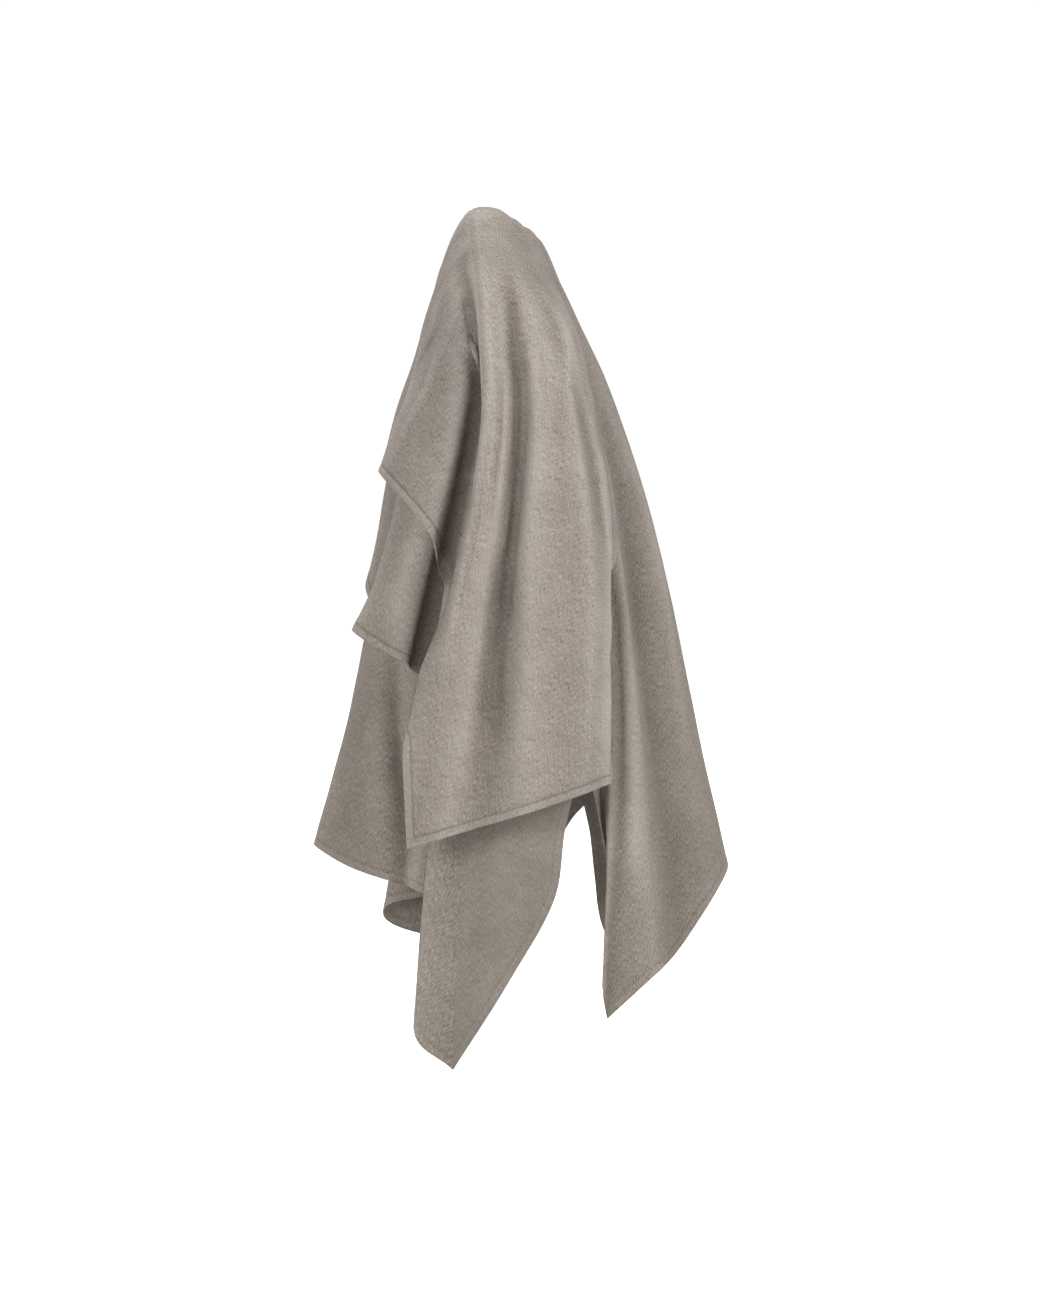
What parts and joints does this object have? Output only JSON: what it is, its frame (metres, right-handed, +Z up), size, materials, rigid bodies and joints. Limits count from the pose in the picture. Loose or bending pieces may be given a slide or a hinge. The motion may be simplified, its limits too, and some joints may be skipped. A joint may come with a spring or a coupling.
{
  "type": "wool poncho with scarf wrap",
  "caption": "Felted wool poncho, open at the sides, with a long scarf wrapped over the chest and thrown over the left shoulder, hollow and open as if worn.",
  "frame": {"origin": "between the shoulders, at the height where they carry the cloth", "axes": "+Z up, -Y to the wearer's front, +X to the wearer's left"},
  "size_m": [0.5984, 0.5182, 1.0273],
  "materials": {
    "wool": "brushed, felted melange wool, matt"
  },
  "bodies": {
    "root": {"front_panel": "wool", "back_panel": "wool", "under_wrap": "wool", "over_wrap": "wool"}
  },
  "joints": []
}
